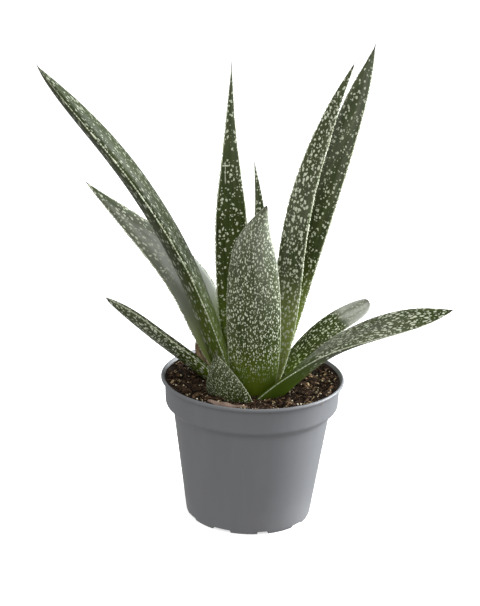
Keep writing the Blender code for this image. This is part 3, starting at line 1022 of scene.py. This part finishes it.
def make_bed():
    """The soil and what lies loose on it: three kinds each of crumbs, chips and fibres, and some grit."""
    soil = make_soil()
    finish_piece(soil, peat(), "potting_soil", "soil")
    tree = tree_of(soil)
    for kind in range(3):
        clod = block_of(f"clod_{kind}", 2.4 * MM, (1.2, 0.9, 0.7), 0.22, kind)
        scatter(f"peat_crumbs_{kind}", clod, tree, 700, (0.4, 1.3), 0.2 * MM, 0.7, PEAT_BITS)
        chip = block_of(f"chip_{kind}", 4.0 * MM, (1.6, 0.6, 0.28), 0.10, kind + 5)
        scatter(f"bark_chips_{kind}", chip, tree, 120, (0.3, 1.1), 0.7 * MM, 0.5, BARK_BITS)
        fibre = fibre_of(f"fibre_{kind}", (5 + 2 * kind) * MM, 0.42 * MM, (0.5 + 0.4 * kind) * MM, kind)
        tones = 0.1 + 0.9 * RANDOM.random(FIBRES) ** 1.7
        scatter(f"peat_fibres_{kind}", fibre, tree, FIBRES, (0.4, 1.1), 1.2 * MM, 0.4, BARK_BITS, tones)
    grain = block_of("grain", 1.3 * MM, (1.1, 0.9, 0.8), 0.15, 3)
    scatter("grit", grain, tree, 260, (0.45, 1.2), 0.9 * MM, 1.5, GRIT_BITS)
    finish_piece(bark_strip(), STRIP_BARK, "potting_soil")


STRIP_PLACE = Vector((-0.0140, -0.0458, 0.0836))
STRIP_LENGTH = 24 * MM


def bark_strip():
    """A long thin flake of bark that lies along the edge of the soil at the front."""
    bpy.ops.mesh.primitive_cube_add(size=1, scale=(STRIP_LENGTH, 4 * MM, 1 * MM))
    strip = named(bpy.context.object, "bark_strip")
    settle(strip)
    start_editing(strip)
    pick(strip, "edges", lambda edge: (edge.verts[0].co - edge.verts[1].co).length > STRIP_LENGTH / 2)
    bpy.ops.mesh.subdivide(number_cuts=9)
    for step in range(11):
        at = STRIP_LENGTH * (step / 10 - 0.5)
        pick(strip, "verts", lambda vert: abs(vert.co.x - at) < STRIP_LENGTH / 30)
        width = 1.05 - abs(step - 4) / 7
        bpy.ops.transform.resize(value=(1, width, 0.5 + width / 2), center_override=(at, 0, 0))
        bend = 1.4 * MM * (step / 5 - 1) ** 2
        lift = 0.5 * MM * math.sin(step * 1.7)
        bpy.ops.transform.translate(value=(0, bend, lift - 0.3 * MM * step / 10))
    bpy.ops.mesh.select_all(action="SELECT")
    bpy.ops.transform.vertex_random(offset=0.25 * MM, seed=2)
    bpy.ops.transform.rotate(value=math.radians(-25), orient_axis="X", center_override=(0, 0, 0))
    bpy.ops.transform.rotate(value=math.radians(17), orient_axis="Z", center_override=(0, 0, 0))
    bpy.ops.transform.translate(value=STRIP_PLACE)
    stop_editing()
    write_tint(strip.data, np.full(len(strip.data.vertices), 0.5))
    apply(strip, "SUBSURF", levels=2, render_levels=2)
    strip.data.shade_smooth()
    return strip


def bead_skin():
    """The cream of the beads along a leaf's edges."""
    finish = Finish("bead_skin", Roughness=0.5)
    shade = finish.noise(finish.place(), 260, 3)
    tone = finish.mix(shade.ramp(0.3, 0.7), (0.36, 0.40, 0.24), CREAM)
    finish.feed(Base_Color=tone, Roughness=0.4 + shade * 0.2)
    return finish.bump(shade, 0.2, 0.0001)


# Camera, light and floor ----------------------------------------------------------------------------------

CAMERA_PLACE = (-0.0086, -1.208, 0.553)
CAMERA_DOWN = math.radians(19.4)
CAMERA_ROLL = math.radians(1.9)
CAMERA_LENS = 134.3
WHITE = (1, 1, 1, 1)


def make_camera():
    """A long lens in front of the plant, looking a little down at it."""
    camera = bpy.data.objects.new("camera", bpy.data.cameras.new("camera"))
    bpy.context.scene.collection.objects.link(camera)
    camera.data.lens = CAMERA_LENS
    camera.data.sensor_width = 36
    turn = Matrix.Rotation(math.pi / 2 - CAMERA_DOWN, 4, "X") @ Matrix.Rotation(CAMERA_ROLL, 4, "Z")
    camera.matrix_world = Matrix.Translation(CAMERA_PLACE) @ turn
    bpy.context.scene.camera = camera


def softbox(name, place, target, size, power, tint=(1, 1, 1)):
    """A square lamp at a place, turned to its target."""
    lamp = bpy.data.objects.new(name, bpy.data.lights.new(name, "AREA"))
    bpy.context.scene.collection.objects.link(lamp)
    lamp.data.shape = "RECTANGLE"
    lamp.data.size, lamp.data.size_y = size
    lamp.data.energy = power
    lamp.data.color = tint
    lamp.location = place
    lamp.rotation_euler = (Vector(target) - Vector(place)).to_track_quat("-Z", "Y").to_euler()


def make_studio():
    """White paper under the plant, white surroundings, and two softboxes."""
    bpy.ops.mesh.primitive_circle_add(vertices=64, radius=30, fill_type="NGON")
    floor = named(bpy.context.object, "floor")
    paper = Finish(
        "floor_paper", Roughness=0.9, Specular_IOR_Level=0.0, Emission_Color=WHITE, Emission_Strength=0.6
    )
    grain = paper.noise(paper.place(), 8, 2)
    paper.feed(Base_Color=paper.mix(grain, (0.88, 0.88, 0.88), (0.92, 0.92, 0.92)))
    floor.data.materials.append(paper.material)
    # The lit paper is bright enough to wash out the plant, so only its look counts.
    floor.visible_diffuse = False
    floor.visible_glossy = False
    world = bpy.data.worlds.new("studio")
    world.use_nodes = True
    background = world.node_tree.nodes["Background"]
    background.inputs["Color"].default_value = WHITE
    background.inputs["Strength"].default_value = 0.55
    bpy.context.scene.world = world
    softbox("key", (0.95, 0.26, 0.42), (0, 0, 0.1), (0.7, 1.0), 38.0, (0.94, 0.97, 1.0))
    softbox("front", (-0.3, -1.4, 1.3), (0, 0, 0.14), (1.2, 0.8), 12.0)
    bpy.context.scene.view_settings.view_transform = "Standard"


PEAT_BITS = bits(
    "peat_crumb",
    [
        (0.0, (0.004, 0.0025, 0.0015)), (0.6, (0.015, 0.009, 0.005)),
        (0.9, (0.060, 0.035, 0.019)), (1.0, (0.20, 0.13, 0.07)),
    ],
    0.95, 0.6,
)
BARK_BITS = bits(
    "bark",
    [
        (0.0, (0.015, 0.009, 0.006)), (0.5, (0.052, 0.027, 0.014)),
        (0.8, (0.18, 0.108, 0.056)), (1.0, (0.60, 0.46, 0.26)),
    ],
    0.9, 0.7,
)
STRIP_BARK = bits(
    "strip_bark",
    [(0.3, (0.07, 0.042, 0.030)), (0.5, (0.17, 0.115, 0.088)), (0.7, (0.34, 0.26, 0.21))],
    0.9, 0.7,
)
GRIT_BITS = bits(
    "grit", [(0.0, (0.30, 0.24, 0.13)), (0.6, (0.62, 0.55, 0.38)), (1.0, (0.88, 0.84, 0.70))], 0.7, 0.3
)

make_camera()
make_studio()
make_plant()
make_bed()
finish_piece(make_pot(), pot_plastic(), "pot_plastic", "pot")
frame["nodes"]["stem"].data.materials.clear()
frame["nodes"]["stem"].data.materials.append(stem_bark())
